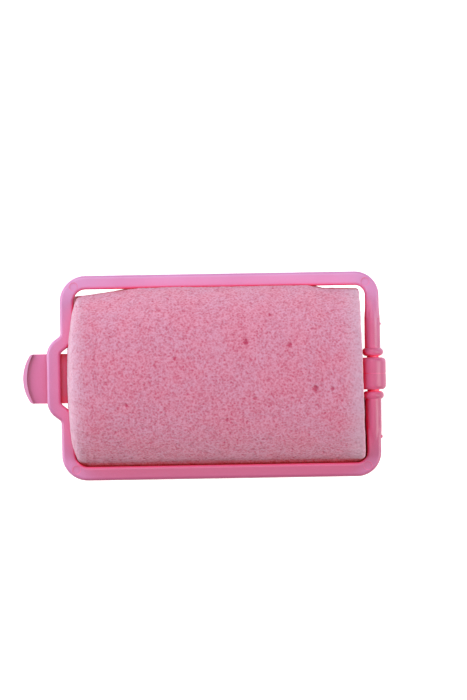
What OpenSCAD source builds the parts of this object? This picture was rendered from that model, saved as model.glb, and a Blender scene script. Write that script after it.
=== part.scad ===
// Foam hair roller with a snap-over clip.
//
// A foam sleeve sits on a flat plastic core. One end of the core is a thumb tab and the other end is
// an open hinge knuckle. A moulded loop, the clip frame, turns in the knuckle, lies round the foam
// a little above its middle and rests on the tab, so that it holds a strand of hair on the foam.
//
// The roller lies along X with the tab at -X, the hinge axis runs along Y, and Z = 0 is the flat
// that the foam rests on. Every module below is drawn round the foam's own axis, with x = 0 at the
// middle of the foam, and placed() moves it to the part's origin. All lengths are in millimetres.

/* [Foam sleeve] */
// Length of the foam, from the middle of its domed end to its flat end
foam_length = 63; // [58:0.5:70]
// Diameter of the foam at its fullest
foam_d = 38; // [34:0.5:42]
// Radius of the slight bulge along the foam's length
foam_bulge_r = 800; // [500:50:2000]
// Distance of the fullest section from the middle of the foam, towards the hinge
foam_bulge_x = 4; // [0:0.5:6]
// Radius of the middle of the domed end, which lets the clip frame swing past it
foam_dome_r = 30; // [28:1:30]
// Distance from the axis at which the dome passes into a flatter cone
foam_dome_reach = 8.4; // [8:0.1:9]
// Slope of the cone, as its rise over its run
foam_dome_slope = 0.19; // [0.19:0.01:0.3]
// Depth of the flat that the roller rests on
foam_flat = 0.4; // [0.2:0.05:0.6]

/* [Core] */
// Width of the core strip and of the thumb tab
strip_w = 10.7; // [9:0.05:12]
// Thickness of the core strip
strip_t = 1.6; // [1.2:0.1:1.6]
// Width of the strip where it meets the hinge knuckle
strip_root_w = 6.4; // [5:0.1:6.4]
// Thickness of the stiffening rib along the strip
rib_w = 1.4; // [1:0.1:2]
// Height of the rib above and below the strip
rib_h = 2; // [1:0.1:3]
// How far the tab stands out past the foam
tab_reach = 9.9; // [9:0.05:14]
// Radius of the tab's rounded end
tab_end_r = 9.2; // [8:0.1:12]
// Radius of the two corners where the rounded end meets the tab's sides
tab_corner_r = 0.9; // [0.3:0.1:1.5]
// Width of the raised lip at the middle of the tab's end
lip_w = 0.86; // [0.6:0.02:1.2]
// Height of the raised lip
lip_h = 0.55; // [0.3:0.05:0.8]
// Radius of the lip's inner edge
lip_inner_r = 11.4; // [10:0.1:16]

/* [Hinge] */
// Distance from the foam's flat end to the hinge axis
hinge_gap = 2.6; // [2.6:0.02:3]
// Outside radius of the knuckle
knuckle_r = 2.8; // [2.6:0.1:2.9]
// Length of the knuckle along the hinge axis
knuckle_l = 6.9; // [6.5:0.1:7.1]
// Radius of the knuckle's rounded end corners
knuckle_edge_r = 0.9; // [0.5:0.1:0.9]
// Width of the fine parting line round the middle of the knuckle
parting_w = 0.2; // [0.1:0.05:0.3]
// Width of the slot in the knuckle that the frame snaps in through
snap_slot_w = 2.1; // [1.9:0.05:2.3]
// Radius of the clip frame's neck, which turns in the knuckle
neck_r = 1.3; // [1.2:0.05:1.4]
// Radial clearance of the neck in the knuckle
neck_clearance = 0.08; // [0.03:0.01:0.1]
// Radius of the frame's round hinge bar
hinge_bar_r = 1.7; // [1.7:0.05:1.8]
// Outside radius of the two bead collars
bead_r = 2.3; // [2.1:0.05:2.3]
// Half of each collar's length
bead_half_l = 0.88; // [0.6:0.02:0.9]
// Gap between a collar and the end of the knuckle
bead_gap = 0.34; // [0.3:0.02:0.8]

/* [Clip frame] */
// Width of the frame's bars, seen from above
bar_w = 3; // [2.6:0.1:3]
// Height of the frame's bars
bar_h = 2.8; // [2.6:0.1:2.8]
// Radius of the bars' rounded edges
bar_edge_r = 0.7; // [0.4:0.05:0.8]
// Outside radius of the frame's two corners at the tab end
tab_end_corner_r = 5.6; // [4.5:0.1:6]
// Outside radius of the frame's two corners at the hinge end
hinge_end_corner_r = 5.2; // [4.5:0.1:6]
// Gap between the foam and each long bar
side_gap = 0.1; // [0.1:0.05:1]
// How far the free bar's outer edge stands past the foam's domed end
free_bar_reach = 1.7; // [1.7:0.05:3]
// How far the middle of the free bar steps outwards, over the tab
jog_depth = 3; // [2.6:0.05:3.2]
// Length of the straight stretch over the tab
jog_l = 9.8; // [9:0.1:11]
// Radius of the bends where the step leaves the free bar, at the bar's centreline
jog_leave_r = 2.4; // [1.8:0.05:2.6]
// Radius of the bends at the ends of the stretch over the tab, at the bar's centreline
jog_end_r = 2.7; // [2.2:0.05:3]
// Gap between the frame and the tab that it rests on
rest_gap = 0.1; // [0.05:0.01:0.2]

/* [Hidden] */

FINE = 160;
ROUND = 72;
foam_pink = [0.87, 0.58, 0.68];
core_pink = [0.85, 0.45, 0.63];
frame_pink = [0.90, 0.53, 0.71];

// The foam, round its own axis
foam_r = foam_d / 2;
foam_x0 = -foam_length / 2;
foam_x1 = foam_length / 2;
bore_clearance = 0.1;
knuckle_relief = 0.25;
parting_depth = 0.06;

// The hinge axis and the frame's mid-plane
hinge_x = foam_x1 + hinge_gap;
clip_z = strip_t / 2 + rest_gap + bar_h / 2;

// The frame's centreline
free_x = foam_x0 - free_bar_reach + bar_w / 2;
long_y = foam_r + side_gap + bar_w / 2;
bend_r0 = tab_end_corner_r - bar_w / 2;
bend_r1 = hinge_end_corner_r - bar_w / 2;
corner_x0 = free_x + bend_r0;
corner_y0 = long_y - bend_r0;
corner_x1 = hinge_x - bend_r1;
corner_y1 = long_y - bend_r1;

// Each side of the step bends one way, runs straight and bends back. It turns through the angle of a
// 3-4-5 triangle, so that its bends meet on round numbers.
jog_cos = 0.6;
jog_sin = 0.8;
jog_angle = acos(jog_cos);
jog_x = free_x - jog_depth;
jog_slant_l = (jog_depth - (jog_leave_r + jog_end_r) * (1 - jog_cos)) / jog_sin;
jog_leave_y = jog_l / 2 + (jog_leave_r + jog_end_r) * jog_sin + jog_slant_l * jog_cos;

// The hinge bar
taper_l = 5;
taper_r = 1.35;
bead_y = knuckle_l / 2 + bead_gap + bead_half_l;

// Round marks left by the mould's ejector pins, and the two small gate stubs on the hinge bar
pin_mark_r = 0.95;
pin_mark_depth = 0.1;
pin_mark_angle = 52;
gate_ys = [10.7, -13.6];
gate_r = 0.4;
gate_sink = 0.2;

// The core
tab_x = foam_x0 - tab_reach;
tab_corner_x = tab_x + tab_end_r
    - sqrt((tab_end_r - tab_corner_r) ^ 2 - (strip_w / 2 - tab_corner_r) ^ 2);
strip_x1 = hinge_x - snap_slot_w / 2 - 0.1;
root_x0 = foam_x1 - 8;
root_x1 = foam_x1 - 4;
rib_x0 = foam_x0 + 3;
rib_x1 = foam_x1 - 9;

// The part's origin: the middle of the whole part's box, at the height of the flat
origin_x = (tab_x + hinge_x + knuckle_r) / 2;
axis_z = foam_r - foam_flat;

// Moves a sub-part from the foam's axis to the part's origin
module placed() {
    translate([-origin_x, 0, axis_z]) children();
}

// The children and their mirror image across the middle of the roller
module both_sides() {
    children();
    mirror([0, 1, 0]) children();
}

// Turns a profile about an axis that lies along Y
module turned_along_y() {
    rotate([90, 0, 0]) rotate_extrude($fn = ROUND) children();
}

// ---- Foam sleeve ----

// Half section of the foam: X is the radius, Y runs along the roller
module foam_profile() {
    intersection() {
        translate([0, foam_x0]) square([foam_r + 1, foam_length]);
        foam_dome();
        translate([foam_r - foam_bulge_r, foam_bulge_x]) circle(r = foam_bulge_r, $fn = FINE * 16);
    }
}

// Everything behind the domed end's surface. The cone starts just inside the dome, so that the two cross.
module foam_dome() {
    inside = 0.03;
    wide = foam_r + 1;
    middle_y = foam_x0 + foam_dome_r;
    cone_y = middle_y - sqrt(foam_dome_r ^ 2 - foam_dome_reach ^ 2) + inside;
    intersection() {
        translate([0, middle_y]) circle(r = foam_dome_r, $fn = FINE * 4);
        translate([0, foam_x0 - 1]) square([wide, foam_dome_r + 1]);
    }
    polygon([
        [0, middle_y], [foam_dome_reach, cone_y],
        [wide, cone_y + foam_dome_slope * (wide - foam_dome_reach)],
        [wide, foam_x1 + 1], [0, foam_x1 + 1]
    ]);
}

module foam_body() {
    rotate([0, 90, 0]) rotate_extrude($fn = FINE) foam_profile();
}

// The hollow that the core fills, and the dent that clears the knuckle
module foam_hollow() {
    strip_solid(strip_t, bore_clearance);
    rib_solid(bore_clearance);
    hollow_l = knuckle_l + 2 * knuckle_relief;
    translate([hinge_x, hollow_l / 2, clip_z])
        rotate([90, 0, 0])
            cylinder(r = knuckle_r + knuckle_relief, h = hollow_l, $fn = ROUND);
}

module sponge() {
    color(foam_pink) placed() difference() {
        foam_body();
        foam_hollow();
        translate([foam_x0 - 5, -foam_r, -foam_r - 5])
            cube([foam_length + 10, foam_d, 5 + foam_flat]);
    }
}

// ---- Core ----

// Outline of the strip from above, grown by extra all round
module strip_outline(extra) {
    half = strip_w / 2 + extra;
    root_half = strip_root_w / 2 + extra;
    end_x = strip_x1 + extra;
    tab_end(half);
    polygon([
        [tab_corner_x, -half], [root_x0, -half], [root_x1, -root_half], [end_x, -root_half],
        [end_x, root_half], [root_x1, root_half], [root_x0, half], [tab_corner_x, half]
    ]);
}

// The tab's rounded end and its two corners, with half the tab's width
module tab_end(half) {
    corner_y = half - tab_corner_r;
    arc_x = tab_x + tab_end_r;
    intersection() {
        translate([arc_x, 0]) circle(r = tab_end_r, $fn = FINE);
        polygon([
            [arc_x, 0],
            [arc_x - 2 * (arc_x - tab_corner_x), -2 * corner_y],
            [arc_x - 2 * (arc_x - tab_corner_x), 2 * corner_y]
        ]);
    }
    for (side = [-1, 1])
        translate([tab_corner_x, side * corner_y]) circle(r = tab_corner_r, $fn = 48);
}

// The flat strip, grown by extra in every direction
module strip_solid(thickness, extra) {
    translate([0, 0, -thickness / 2 - extra])
        linear_extrude(thickness + 2 * extra) strip_outline(extra);
}

// The rib that stiffens the strip inside the foam
module rib_solid(extra) {
    height = strip_t + 2 * rib_h + 2 * extra;
    translate([rib_x0 - extra, -rib_w / 2 - extra, -height / 2])
        cube([rib_x1 - rib_x0 + 2 * extra, rib_w + 2 * extra, height]);
}

// The raised lip that a thumb pushes on, widest in the middle of the tab's end
module tab_lip() {
    sink = 0.2;
    translate([0, 0, strip_t / 2 - sink])
        linear_extrude(lip_h + sink)
            difference() {
                tab_end(strip_w / 2);
                translate([tab_x + lip_w + lip_inner_r, 0]) circle(r = lip_inner_r, $fn = FINE);
            }
}

// Half section of the knuckle, with its end corners rounded
module knuckle_profile() {
    half = knuckle_l / 2;
    translate([0, -half]) square([knuckle_r - knuckle_edge_r, knuckle_l]);
    translate([0, knuckle_edge_r - half]) square([knuckle_r, knuckle_l - 2 * knuckle_edge_r]);
    for (side = [-1, 1])
        translate([knuckle_r - knuckle_edge_r, side * (half - knuckle_edge_r)])
            circle(r = knuckle_edge_r, $fn = ROUND);
}

module knuckle() {
    translate([hinge_x, 0, clip_z])
        turned_along_y() difference() {
            knuckle_profile();
            translate([knuckle_r - parting_depth, -parting_w / 2]) square([1, parting_w]);
        }
}

// The bore that the neck turns in, and the slot below it that the neck snaps in through
module knuckle_bore() {
    translate([hinge_x, knuckle_l / 2 + 1, clip_z])
        rotate([90, 0, 0])
            cylinder(r = neck_r + neck_clearance, h = knuckle_l + 2, $fn = ROUND);
    translate([hinge_x - snap_slot_w / 2, -knuckle_l / 2 - 1, clip_z - knuckle_r - 1])
        cube([snap_slot_w, knuckle_l + 2, knuckle_r + 1]);
}

module core() {
    color(core_pink) placed() difference() {
        union() {
            strip_solid(strip_t, 0);
            rib_solid(0);
            tab_lip();
            knuckle();
        }
        knuckle_bore();
    }
}

// ---- Clip frame ----

// Section of the bars: X is across the bar, Y is its height
module bar_section() {
    flat_w = bar_w - 2 * bar_edge_r;
    flat_h = bar_h - 2 * bar_edge_r;
    square([bar_w, flat_h], center = true);
    square([flat_w, bar_h], center = true);
    for (x = [-flat_w / 2, flat_w / 2], y = [-flat_h / 2, flat_h / 2])
        translate([x, y]) circle(r = bar_edge_r, $fn = 32);
}

module bar_along_x(x0, x1, y) {
    translate([x0, y, 0]) rotate([90, 0, 90]) linear_extrude(x1 - x0) bar_section();
}

module bar_along_y(y0, y1, x) {
    translate([x, y1, 0]) rotate([90, 0, 0]) linear_extrude(y1 - y0) bar_section();
}

// A bend of the bar about an upright axis at [x, y], from one angle through a sweep
module bar_bend(x, y, radius, from, sweep) {
    translate([x, y, 0])
        rotate([0, 0, from])
            rotate_extrude(angle = sweep, $fn = FINE) translate([radius, 0]) bar_section();
}

// Half of the free bar, with the step outwards over the tab
module free_bar_half() {
    bar_along_y(0, jog_l / 2, jog_x);
    bar_bend(jog_x + jog_end_r, jog_l / 2, jog_end_r, 180 - jog_angle, jog_angle);
    translate([jog_x + jog_end_r * (1 - jog_cos), jog_l / 2 + jog_end_r * jog_sin, 0])
        rotate([0, 0, -jog_angle])
            bar_along_y(0, jog_slant_l, 0);
    bar_bend(free_x - jog_leave_r, jog_leave_y, jog_leave_r, -jog_angle, jog_angle);
    bar_along_y(jog_leave_y, corner_y0, free_x);
}

// Half of the hinge bar: the flat-sided bar runs out into a cone, and the cone into a round bar
module hinge_bar_half() {
    bar_along_y(corner_y1 - taper_l, corner_y1, hinge_x);
    translate([hinge_x, corner_y1, 0])
        rotate([90, 0, 0])
            cylinder(r1 = taper_r, r2 = hinge_bar_r, h = taper_l, $fn = ROUND);
    translate([hinge_x, corner_y1 - taper_l, 0])
        rotate([90, 0, 0])
            cylinder(r = hinge_bar_r, h = corner_y1 - taper_l - bead_y, $fn = ROUND);
    translate([hinge_x, bead_y, 0])
        turned_along_y() translate([bead_r - bead_half_l, 0]) circle(r = bead_half_l, $fn = 48);
    translate([hinge_x, bead_y, 0])
        rotate([90, 0, 0]) cylinder(r = neck_r, h = bead_y, $fn = ROUND);
}

module frame_half() {
    free_bar_half();
    bar_bend(corner_x0, corner_y0, bend_r0, 90, 90);
    bar_along_x(corner_x0, corner_x1, long_y);
    bar_bend(corner_x1, corner_y1, bend_r1, 0, 90);
    hinge_bar_half();
}

// A shallow round mark on each corner's top face
module pin_marks() {
    pin_mark(corner_x0, corner_y0, bend_r0, 180 - pin_mark_angle);
    pin_mark(corner_x1, corner_y1, bend_r1, pin_mark_angle);
}

module pin_mark(x, y, radius, angle) {
    translate([x + radius * cos(angle), y + radius * sin(angle), bar_h / 2 - pin_mark_depth])
        cylinder(r = pin_mark_r, h = 1, $fn = 48);
}

module gate_stubs() {
    for (y = gate_ys)
        translate([hinge_x + hinge_bar_r - gate_sink, y, 0]) sphere(r = gate_r, $fn = 32);
}

module clip_frame() {
    color(frame_pink) placed() translate([0, 0, clip_z]) difference() {
        union() {
            both_sides() frame_half();
            gate_stubs();
        }
        both_sides() pin_marks();
    }
}

sponge();
core();
clip_frame();
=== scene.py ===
"""Looks for a foam hair roller: an open-cell foam sleeve on a plastic core, with a hinged clip frame.

The foam is built here as one closed mesh. The core and the clip frame are the CAD parts with moulded
plastic materials. Lengths in the foam functions are millimetres round the foam's own axis: u runs
along the roller from the tab to the hinge, v across it and w up.
"""

import math

import bpy
import numpy as np
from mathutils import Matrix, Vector, noise


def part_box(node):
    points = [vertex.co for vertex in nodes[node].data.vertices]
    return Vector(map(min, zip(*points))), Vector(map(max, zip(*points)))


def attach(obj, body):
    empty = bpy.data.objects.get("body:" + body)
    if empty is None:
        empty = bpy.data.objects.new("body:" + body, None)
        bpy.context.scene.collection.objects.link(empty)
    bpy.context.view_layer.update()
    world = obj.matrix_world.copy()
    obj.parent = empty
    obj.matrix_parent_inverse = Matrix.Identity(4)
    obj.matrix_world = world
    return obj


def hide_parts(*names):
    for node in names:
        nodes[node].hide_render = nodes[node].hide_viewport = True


MM = 0.001

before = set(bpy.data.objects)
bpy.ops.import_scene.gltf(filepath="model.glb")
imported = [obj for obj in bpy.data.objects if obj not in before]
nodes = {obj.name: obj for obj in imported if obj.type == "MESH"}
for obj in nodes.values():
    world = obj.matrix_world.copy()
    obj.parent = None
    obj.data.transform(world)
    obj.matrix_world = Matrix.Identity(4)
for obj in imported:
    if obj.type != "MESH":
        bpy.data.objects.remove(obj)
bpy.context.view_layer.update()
scene = bpy.context.scene

# ---- Camera ----

CLIP_TOP = 0.0209
CAMERA_HEIGHT = 1.6
VIEW_LENGTH = 0.15092  # what the longer side of the picture takes in at the height of the clip frame
CAMERA_X, CAMERA_Y, CAMERA_TURN = 0.006365, 0.00555, -0.97
SENSOR = 36
camera_data = bpy.data.cameras.new("camera")
camera = bpy.data.objects.new("camera", camera_data)
scene.collection.objects.link(camera)
scene.camera = camera
camera_data.sensor_width = SENSOR
camera_data.lens = SENSOR * CAMERA_HEIGHT / VIEW_LENGTH
camera_data.clip_end = 10
camera.location = (CAMERA_X, CAMERA_Y, CLIP_TOP + CAMERA_HEIGHT)
camera.rotation_euler = (0, 0, math.radians(CAMERA_TURN))

# ---- The foam's shape ----

FOAM_R = 19.0
foam_low, foam_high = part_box("sponge")
FOAM_MID_X = (foam_low.x + foam_high.x) / 2 / MM
FOAM_AXIS_Z = foam_high.z / MM - FOAM_R
FLAT_W = -FOAM_AXIS_Z

# Radii along the foam: its +v side, and its -v side above and below the long bar
PLUS_SIDE = [-31, -24.7, -20.4, -16, 20.2, 23.5, 32], [17.75, 18.35, 18.9, 19.7, 19.7, 18.8, 18.5]
LOWER_MINUS_SIDE = [-31, -28, -24, 32], [19.5, 19.7, 19.8, 19.8]
UPPER_MINUS_SIDE = [-31, -28, -24, 0, 32], [18.4, 18.5, 18.6, 18.45, 18.65]

# Where the foam's end faces are, and the rounding between them and its side. The domed end is
# rounded more at the top and bottom, and its rounding starts DOME_TURN radians into the turn.
LEFT_U, RIGHT_U = -31.94, 31.8
RIM_LEFT_U, RIM_RIGHT_U = -30.0, 31.0
CORNER, DOME_CORNER, DOME_TURN = 0.7, 6, 0.35
LEFT_CORNER_STEPS, RIGHT_CORNER_STEPS = 14, 5

# Half width and half height of the slot round the core, at the tab and at the knuckle, and then u and
# both of them at each station between, from the knuckle back to the tab
TAB_SLOT, KNUCKLE_SLOT = (5.43, 0.88), (3.28, 0.88)
SLOT_STATIONS = [(28.5, 3.28, 0.88), (24.5, 5.45, 0.88), (22.9, 5.45, 2.95), (-28.8, 5.45, 2.95),
                 (-29.8, 5.43, 0.88)]

# The clip frame and the knuckle, which the foam keeps clear of
CLEAR = 0.02
LONG_BAR_INNER_V = 19.1
BAR_BOTTOM_W, BAR_TOP_W, BAR_EDGE_R = 0.9, 3.7, 0.7
FRAME_CORNERS = [(-27.6, 16.5, 2.6, -1), (30.4, 16.9, 2.2, 1)]  # centre u and v, radius, end
FREE_BAR_U, BEND_V, BEND_R = -34.1, 9.7, 3.9
HINGE_U, HINGE_W = 34.1, 2.3
KNUCKLE, BEADS, HINGE_BAR = (3.45, 2.8), (5.3, 2.3), (22.0, 1.7)  # half length and radius


def smooth(low, high, x):
    t = np.clip((x - low) / (high - low), 0, 1)
    return t * t * (3 - 2 * t)


def foam_radius(u, angle):
    """The foam's radius at a distance along it. The +v side is pressed in towards both ends, and the
    -v side stands free of the long bar above it and bulges out below."""
    plus = np.interp(u, *PLUS_SIDE)
    lower = np.interp(u, *LOWER_MINUS_SIDE)
    upper = np.interp(u, *UPPER_MINUS_SIDE)
    rise = FOAM_R * np.sin(angle)
    minus = lower + (upper - lower) * smooth(BAR_BOTTOM_W, 3.0, rise)
    share = smooth(-0.6, 0.6, np.cos(angle))
    return minus + (plus - minus) * share


def left_face(v, w):
    """The foam's domed end, a little fuller on the -v side and nearly flat below the free bar."""
    rho = np.hypot(v, w)
    share = (1 + v / np.maximum(rho, 1e-6)) / 2
    edge = np.maximum(rho - 14, 0) ** 2
    plus = rho * rho / 165 + 0.047 * edge
    minus = rho * rho / 260 + 0.06 * edge
    upper = minus + (plus - minus) * share
    return LEFT_U + upper + (rho * rho / 500 - upper) * smooth(1.5, -2.0, w)


def right_face(v, w):
    """The foam's flat end, which leans on the round hinge bar on the -v side."""
    return RIGHT_U - 0.02 * v + 0.6 * smooth(-3.2, -5.5, v) * smooth(2.8, 1.6, w)


def slot_radius(angle, half_v, half_w):
    """Distance from the axis to the outline of the slot round the core."""
    c, s = np.abs(np.cos(angle)), np.abs(np.sin(angle))
    return np.minimum(half_v / np.maximum(c, 1e-9), half_w / np.maximum(s, 1e-9))


def foam_angles(top, bottom):
    """Angles round the foam, closer together on the upper half."""
    return np.concatenate([
        np.linspace(0, math.pi, top, endpoint=False),
        np.linspace(math.pi, 2 * math.pi, bottom, endpoint=False),
    ])


def foam_rings(angle, side_count, face_count):
    """Points of the foam, ring by ring: left face, side, right face and back through the slot."""
    c, s = np.cos(angle), np.sin(angle)
    rings, depth_share = [], []

    def add(u, rho, share):
        rings.append(np.stack([u + 0 * c, rho * c, rho * s], axis=1))
        depth_share.append(np.full(len(angle), share))

    corner = CORNER + (DOME_CORNER - CORNER) * s * s
    rim = foam_radius(np.full(len(angle), RIM_LEFT_U), angle) - corner * (1 - math.sin(DOME_TURN))
    slot = slot_radius(angle, *TAB_SLOT)
    for t in np.linspace(0, 1, face_count):
        rho = slot + (rim - slot) * t
        add(left_face(rho * c, rho * s), rho, min(1.0, t * 6))
    rim_u = left_face(rim * c, rim * s)
    for turn in np.linspace(DOME_TURN, math.pi / 2, LEFT_CORNER_STEPS)[1:]:
        rho = rim + corner * (math.sin(turn) - math.sin(DOME_TURN))
        add(rim_u + corner * (math.cos(DOME_TURN) - math.cos(turn)), rho, 1.0)
    left_u = rim_u + corner * math.cos(DOME_TURN)
    right_rim = foam_radius(np.full(len(angle), RIM_RIGHT_U), angle) - CORNER
    right_u = right_face(right_rim * c, right_rim * s) - CORNER
    for t in np.linspace(0, 1, side_count)[1:]:
        u = left_u + (right_u - left_u) * t
        add(u, foam_radius(u, angle), 1.0)
    for t in np.linspace(0, 1, RIGHT_CORNER_STEPS)[1:]:
        turn = t * math.pi / 2
        rho = right_rim + CORNER * math.cos(turn)
        add(right_u + CORNER * math.sin(turn), rho, 1.0)
    slot = slot_radius(angle, *KNUCKLE_SLOT)
    for t in np.linspace(1, 0, face_count)[1:]:
        rho = slot + (right_rim - slot) * t
        add(right_face(rho * c, rho * s), rho, min(1.0, t * 6))
    for u, half_v, half_w in SLOT_STATIONS:
        add(u, slot_radius(angle, half_v, half_w), 0.0)
    return np.array(rings), np.array(depth_share)


def outward(points):
    """Unit normals of a closed grid of rings."""
    along = np.roll(points, -1, axis=0) - np.roll(points, 1, axis=0)
    round_ = np.roll(points, -1, axis=1) - np.roll(points, 1, axis=1)
    n = np.cross(round_, along)
    return n / np.maximum(np.linalg.norm(n, axis=2, keepdims=True), 1e-9)


def cells(points, pitch, seed):
    """Distances to the nearest two cell centres, as shares of the pitch, and the nearest centre."""
    out = np.empty((len(points), 5))
    for i, p in enumerate(points):
        distances, centres = noise.voronoi(Vector(p) / pitch + Vector((seed, seed, seed)))
        out[i, 0], out[i, 1] = distances[0], distances[1]
        out[i, 2:] = centres[0]
    return out


def soft_noise(points, pitch, seed):
    offset = Vector((seed, 2 * seed, 3 * seed))
    return np.array([noise.noise(Vector(p) / pitch + offset) for p in points])


FINE_PITCH, COARSE_PITCH = 0.6, 1.05
FINE_DEPTH, COARSE_DEPTH, BIG_DEPTH = 0.14, 0.2, 0.4
BIG_PORES = [  # u, v and size
    (6.8, 7.3, 0.95), (16.1, 6.5, 0.8), (21.5, -3.1, 0.95), (25.1, -3.0, 0.6),
    (-8.5, 4.0, 0.5), (-19.0, -6.0, 0.5), (2.5, -9.5, 0.5), (12.0, 13.0, 0.5),
]


def pore_depths(points):
    """Depth of the open cells below the foam's cut surface, in mm, and how deep in a cell each point is."""
    fine = cells(points, FINE_PITCH, 3.1)
    coarse = cells(points, COARSE_PITCH, 11.7)
    fine_pit = np.clip(1 - fine[:, 0] / 0.55, 0, 1)
    coarse_wall = np.clip((coarse[:, 1] - coarse[:, 0]) / 0.45, 0, 1)
    pick = np.abs(np.sin(coarse[:, 2] * 12.9 + coarse[:, 3] * 78.2 + coarse[:, 4] * 37.7))
    coarse_pit = coarse_wall * np.clip((pick - 0.55) / 0.45, 0, 1) * np.clip(1.1 - coarse[:, 0], 0, 1)
    depth = FINE_DEPTH * fine_pit + COARSE_DEPTH * coarse_pit
    share = 0.45 * fine_pit + 0.5 * coarse_pit
    for u, v, size in BIG_PORES:
        r = np.hypot((points[:, 0] - u) * 1.4, points[:, 1] - v) / size
        pit = np.clip(1.5 - 1.5 * r * r, 0, 1) * (points[:, 2] > 0)
        depth += BIG_DEPTH * size * pit
        share += 1.4 * pit
    return depth, np.clip(share, 0, 1.6)


def keep_clear(p):
    """Presses the foam in where the clip frame, the knuckle and the table touch it."""
    u, v, w = p[:, 0], p[:, 1], p[:, 2]
    beside = (w > BAR_BOTTOM_W - 0.4) & (w < BAR_TOP_W + 0.2)
    # the long bars with their rounded top edges, and the frame's rounded inner corners
    up_edge = np.clip((w - BAR_TOP_W) / BAR_EDGE_R + 1, 0, 1)
    limit = LONG_BAR_INNER_V - CLEAR + BAR_EDGE_R * (1 - np.sqrt(1 - up_edge ** 2))
    v = np.where(beside & (w < BAR_TOP_W + CLEAR), np.clip(v, -limit, limit), v)
    for end_u, end_v, radius, side in FRAME_CORNERS:
        du, dv = u - end_u, np.abs(v) - end_v
        far = np.hypot(du, dv)
        pull = np.minimum((radius - CLEAR) / np.maximum(far, 1e-6), 1)
        corner = beside & (du * side > 0) & (dv > 0)
        u = np.where(corner, end_u + du * pull, u)
        v = np.where(corner, np.sign(v) * (end_v + dv * pull), v)
    # the free bar, which the foam bulges over, with the bends where it steps out
    bend = np.maximum(BEND_V - np.abs(v), 0)
    bar_u = FREE_BAR_U + np.sqrt(np.maximum(BEND_R ** 2 - bend * bend, 0)) + CLEAR
    band = smooth(BAR_TOP_W + 0.8, BAR_TOP_W + 0.05, w) * smooth(0.3, 0.9, w)
    u = np.where(u < bar_u, u + (bar_u - u) * band, u)
    # the knuckle, the beads and the round hinge bar
    for half_l, radius in (KNUCKLE, BEADS, HINGE_BAR):
        reach = radius + CLEAR
        drop = np.abs(w - HINGE_W)
        edge = HINGE_U - np.sqrt(np.maximum(reach * reach - drop * drop, 0))
        inside = (drop < reach) & (np.abs(v) < half_l + 0.3)
        u = np.where(inside, np.minimum(u, edge), u)
    w = np.maximum(w, FLAT_W)
    return np.stack([u, v, w], axis=1)


def build_foam():
    """The foam sleeve, with how deep in a cell each point is stored on it as the attribute pore."""
    angle = foam_angles(212, 120)
    rings, share = foam_rings(angle, 212, 28)
    normals = outward(rings)
    count, around = rings.shape[:2]
    points = rings.reshape(-1, 3)
    normals = normals.reshape(-1, 3)
    share = share.reshape(-1)
    wave = 0.10 * soft_noise(points, 7.0, 5.0) + 0.06 * soft_noise(points, 2.6, 9.0)
    depth, pore = pore_depths(points)
    points = points - normals * ((depth - wave + 0.04) * share)[:, None]
    points = keep_clear(points)
    i, j = np.meshgrid(np.arange(count), np.arange(around), indexing="ij")
    i2, j2 = (i + 1) % count, (j + 1) % around
    faces = np.stack([i * around + j, i * around + j2, i2 * around + j2, i2 * around + j], axis=2)
    place = np.array([FOAM_MID_X, 0, FOAM_AXIS_Z])
    mesh = bpy.data.meshes.new("foam_sleeve")
    mesh.from_pydata(((points + place) * MM).tolist(), [], faces.reshape(-1, 4).tolist())
    mesh.update()
    mesh.polygons.foreach_set("use_smooth", [True] * len(mesh.polygons))
    attribute = mesh.attributes.new("pore", "FLOAT", "POINT")
    attribute.data.foreach_set("value", (pore * share).astype(np.float32))
    foam = bpy.data.objects.new("foam_sleeve", mesh)
    scene.collection.objects.link(foam)
    return foam


# ---- Materials ----


class Nodes:
    """A material's node tree, with short ways to add and link nodes."""

    def __init__(self, name):
        self.material = bpy.data.materials.new(name)
        self.material.use_nodes = True
        self.tree = self.material.node_tree
        self.shader = self.tree.nodes["Principled BSDF"]

    def add(self, kind, inputs=(), **settings):
        node = self.tree.nodes.new(kind)
        for key, value in settings.items():
            setattr(node, key, value)
        for key, value in dict(inputs).items():
            if isinstance(value, bpy.types.NodeSocket):
                self.tree.links.new(value, node.inputs[key])
            else:
                node.inputs[key].default_value = value
        return node

    def openness(self, distance, direction=None):
        """How open the surroundings are, from 0 to 1, around the surface normal or a direction."""
        inputs = {"Distance": distance}
        if direction:
            axes = dict(zip("XYZ", direction))
            inputs["Normal"] = self.add("ShaderNodeCombineXYZ", axes).outputs[0]
        return self.add("ShaderNodeAmbientOcclusion", inputs, samples=8).outputs["AO"]

    def math(self, operation, a, b=0.0, clamp=False):
        return self.add("ShaderNodeMath", {0: a, 1: b}, operation=operation, use_clamp=clamp).outputs[0]

    def ramp(self, value, low, high, to_low=0.0, to_high=1.0):
        return self.add("ShaderNodeMapRange", {"Value": value, "From Min": low, "From Max": high,
                                               "To Min": to_low, "To Max": to_high},
                        interpolation_type="SMOOTHSTEP").outputs[0]

    def mix(self, share, a, b):
        node = self.tree.nodes.new("ShaderNodeMix")
        node.data_type = "RGBA"
        for key, value in ((0, share), (6, a), (7, b)):
            if isinstance(value, bpy.types.NodeSocket):
                self.tree.links.new(value, node.inputs[key])
            else:
                node.inputs[key].default_value = value
        return node.outputs[2]

    def set(self, **inputs):
        for key, value in inputs.items():
            socket = self.shader.inputs[key.replace("_", " ")]
            if isinstance(value, bpy.types.NodeSocket):
                self.tree.links.new(value, socket)
            else:
                socket.default_value = value


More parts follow.
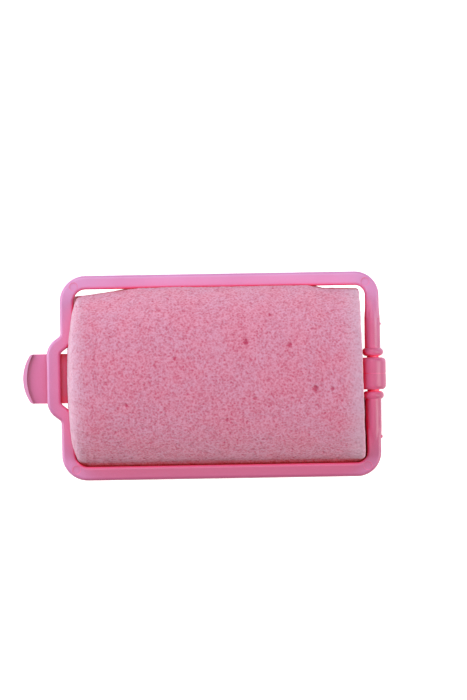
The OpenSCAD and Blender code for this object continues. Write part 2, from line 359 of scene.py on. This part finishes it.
# the strut colours are the foam's own tone; the end colour is a painted sheen for the pale band towards the
# foam's ends
FOAM_STRUT_COOL, FOAM_STRUT_WARM, FOAM_END_SHEEN = (184, 129, 151), (187, 125, 146), (174, 163, 178)
# painted shade: the pore colours are darker and redder than the struts, standing in for the shade inside
# the open cells
FOAM_PORE_SHADE_COOL, FOAM_PORE_SHADE_WARM = (166, 70, 96), (167, 61, 90)
# painted shade for the foam's crevices: reddish where the key light still reaches, deep red where it is
# blocked
FOAM_CREVICE_SHADE, FOAM_CREVICE_DEEP_SHADE = (190, 80, 110), (165, 10, 20)
# painted light for the plastics: a bounce colour for pink light off the foam, a shade colour for where the
# key light is blocked, and a red glow colour for light through the plastic in crevices
PLASTIC_BOUNCE, PLASTIC_KEY_SHADE, PLASTIC_CREVICE_GLOW = (210, 98, 138), (150, 64, 94), (248, 8, 66)
# core and frame colours are the plastics' own; the lip colour is a painted highlight on the tab's raised
# lip
CORE_PINK, FRAME_PINK, LIP_HIGHLIGHT_PINK = (179, 100, 144), (172, 113, 153), (189, 121, 156)
# TAB_BOUNCE is a fixed share of painted bounce light on the tab
LIP_INNER_X, TAB_TOP_Z, TAB_INNER_X, TAB_BOUNCE = -0.0358, 0.0194, -0.0341, 0.28
SKY_SIDE = (-0.25, 0.7, 0.67)  # towards the key light, but lower


def colour(r, g, b):
    """Linear colour from 0 to 255 display values."""
    def linear(x):
        x /= 255
        return x / 12.92 if x <= 0.04045 else ((x + 0.055) / 1.055) ** 2.4
    return (linear(r), linear(g), linear(b), 1)


def foam_material():
    """Foam with painted shade in its open cells, which are darker and redder, painted sheen that makes it
    paler towards its ends, and painted shade in its crevices, reddish where the key light reaches and deep
    red where it is blocked.
    """
    n = Nodes("foam")
    place = n.add("ShaderNodeTexCoord").outputs["Object"]
    along = n.add("ShaderNodeSeparateXYZ", {"Vector": place}).outputs["X"]
    mid = FOAM_MID_X * MM
    from_mid = n.math("ABSOLUTE", n.math("SUBTRACT", along, mid))
    near_end = n.ramp(from_mid, 0.0265, 0.0315)
    pore = n.add("ShaderNodeAttribute", attribute_name="pore").outputs["Fac"]
    cell = n.add("ShaderNodeTexVoronoi", {"Vector": place, "Scale": 1700.0, "Randomness": 1.0},
                 feature="F1").outputs["Distance"]
    cell_pit = n.ramp(cell, 0.1, 0.7, 1.0, 0.0)
    grain = n.add("ShaderNodeTexNoise", {"Vector": place, "Scale": 2600.0, "Detail": 3.0,
                                         "Roughness": 0.7}).outputs["Fac"]
    patch = n.add("ShaderNodeTexNoise", {"Vector": place, "Scale": 190.0, "Detail": 3.0}).outputs["Fac"]
    blush = n.ramp(patch, 0.38, 0.62)
    pit = n.math("ADD", n.math("MULTIPLY", cell_pit, 0.5), n.math("MULTIPLY", pore, 0.55))
    pit = n.math("ADD", pit, n.math("MULTIPLY", n.math("SUBTRACT", grain, 0.45), 2.1), clamp=True)
    strut = n.mix(blush, colour(*FOAM_STRUT_COOL), colour(*FOAM_STRUT_WARM))
    # pit mixes the pore colours in, as painted shade inside the open cells
    deep = n.mix(blush, colour(*FOAM_PORE_SHADE_COOL), colour(*FOAM_PORE_SHADE_WARM))
    base = n.mix(pit, strut, deep)
    # painted sheen: paler towards the ends
    base = n.mix(n.math("MULTIPLY", near_end, 0.4), base, colour(*FOAM_END_SHEEN))
    # painted shade: crevices are coloured dark red, darker still where the key light is blocked
    lit = n.ramp(n.openness(0.05, SKY_SIDE), 0.3, 0.7)
    crevice_shade = n.mix(lit, colour(*FOAM_CREVICE_DEEP_SHADE), colour(*FOAM_CREVICE_SHADE))
    base = n.mix(n.ramp(n.openness(0.003), 0.1, 0.55), crevice_shade, base)
    height = n.math("SUBTRACT", 1.0, pit)
    bump = n.add("ShaderNodeBump", {"Strength": 0.6, "Distance": 0.0002, "Height": height})
    n.set(Base_Color=base, Roughness=0.9, Diffuse_Roughness=1.0, Normal=bump.outputs[0])
    n.set(Subsurface_Weight=0.1, Subsurface_Radius=(1.0, 0.4, 0.5), Subsurface_Scale=0.001)
    n.set(Specular_IOR_Level=0.15, Sheen_Weight=0.1, Sheen_Roughness=0.5)
    return n.material


def plastic_material(name, body, roughness, lip=None):
    """Moulded polypropylene: uneven colour and gloss, with painted light: painted shade where the key light
    is blocked, painted bounce from the foam, a painted red glow of light through the plastic in crevices
    and a painted highlight on the tab's thin lip."""
    n = Nodes(name)
    place = n.add("ShaderNodeTexCoord").outputs["Object"]
    flow = n.add("ShaderNodeTexNoise", {"Vector": place, "Scale": 90.0, "Detail": 3.0}).outputs["Fac"]
    fine = n.add("ShaderNodeTexNoise", {"Vector": place, "Scale": 1500.0, "Detail": 4.0}).outputs["Fac"]
    darker = [x * y for x, y in zip(body, (0.96, 0.93, 0.95))]
    base = n.mix(n.ramp(flow, 0.3, 0.7), colour(*body), colour(*darker))
    # painted shade: where the key light is blocked the plastic takes a darker colour
    lit = n.ramp(n.openness(0.05, SKY_SIDE), 0.4, 0.8)
    base = n.mix(lit, colour(*PLASTIC_KEY_SHADE), base)
    # painted bounce light: the plastic turns pinker where the foam is close, as if lit by light off it
    bounce = n.ramp(n.openness(0.012), 0.35, 0.95, 1.0, 0.0)
    # painted light: in tight crevices a saturated red glow stands in for light coming through the plastic,
    # weaker where the key light reaches
    closed = n.ramp(n.openness(0.003), 0.15, 0.56, 1.0, 0.0)
    closed = n.math("MULTIPLY", closed, n.math("SUBTRACT", 1.0, n.math("MULTIPLY", lit, 0.85)))
    if lip:
        axes = n.add("ShaderNodeSeparateXYZ", {"Vector": place}).outputs
        off_tab = n.ramp(axes["X"], TAB_INNER_X, TAB_INNER_X + 0.001)
        bounce = n.math("MULTIPLY", n.math("SUBTRACT", bounce, TAB_BOUNCE), off_tab)
        bounce = n.math("ADD", bounce, TAB_BOUNCE)
        closed = n.math("MULTIPLY", closed, off_tab)
    base = n.mix(bounce, base, colour(*PLASTIC_BOUNCE))
    base = n.mix(closed, base, colour(*PLASTIC_CREVICE_GLOW))
    if lip:
        # painted highlight: the tab's raised lip is paler where it catches the light
        outer = n.ramp(axes["X"], LIP_INNER_X - 0.0003, LIP_INNER_X, 1.0, 0.0)
        raised = n.ramp(axes["Z"], TAB_TOP_Z + 0.0001, TAB_TOP_Z + 0.0004)
        base = n.mix(n.math("MULTIPLY", outer, raised), base, colour(*lip))
    rough = n.math("ADD", n.math("MULTIPLY", n.math("SUBTRACT", fine, 0.5), 0.2), roughness)
    bump = n.add("ShaderNodeBump", {"Strength": 0.1, "Distance": 0.0001, "Height": fine})
    n.set(Base_Color=base, Roughness=rough, Normal=bump.outputs[0], Specular_IOR_Level=0.35)
    n.set(Subsurface_Weight=0.15, Subsurface_Radius=(1.0, 0.4, 0.5), Subsurface_Scale=0.001)
    return n.material


def give(obj, material):
    obj.data.materials.clear()
    obj.data.materials.append(material)


foam = build_foam()
give(foam, foam_material())
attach(foam, "roller")
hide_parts("sponge")

give(nodes["core"], plastic_material("core_plastic", CORE_PINK, 0.38, LIP_HIGHLIGHT_PINK))
give(nodes["clip_frame"], plastic_material("frame_plastic", FRAME_PINK, 0.36))
give(nodes["sponge"], foam.data.materials[0])

# ---- Floor and lights ----

bpy.ops.mesh.primitive_plane_add(size=4, location=(0, 0, -0.0002))
floor = bpy.context.object
floor.name = "floor"
n = Nodes("floor")
n.set(Base_Color=(0.9, 0.9, 0.9, 1), Roughness=0.9, Specular_IOR_Level=0.0)
n.set(Emission_Color=(1, 1, 1, 1), Emission_Strength=0.4)
give(floor, n.material)

world = bpy.data.worlds.new("world")
scene.world = world
world.use_nodes = True
background = world.node_tree.nodes["Background"].inputs
background["Color"].default_value = (1.05, 1.0, 0.95, 1)
background["Strength"].default_value = 0.32

AIM = (0, 0, 0.02)
LIGHTS = [  # name, place, size, power and tint
    ("key", (-0.08, 0.24, 0.46), 0.3, 1.84, (0.84, 1.03, 1.12)),
    ("top", (0.0, 0.0, 0.9), 0.4, 0.65, (1, 1, 1)),
    ("right", (0.4, -0.05, 0.3), 0.3, 2.3, (1.05, 0.99, 0.96)),
    ("left", (-0.42, 0.05, 0.22), 0.3, 2.3, (1, 1, 1)),
]
for name, place, size, power, tint in LIGHTS:
    data = bpy.data.lights.new(name, "AREA")
    data.size, data.energy, data.color = size, power, tint
    light = bpy.data.objects.new(name, data)
    scene.collection.objects.link(light)
    light.location = place
    light.rotation_euler = (Vector(AIM) - Vector(place)).to_track_quat("-Z", "Y").to_euler()

scene.view_settings.view_transform = "Standard"
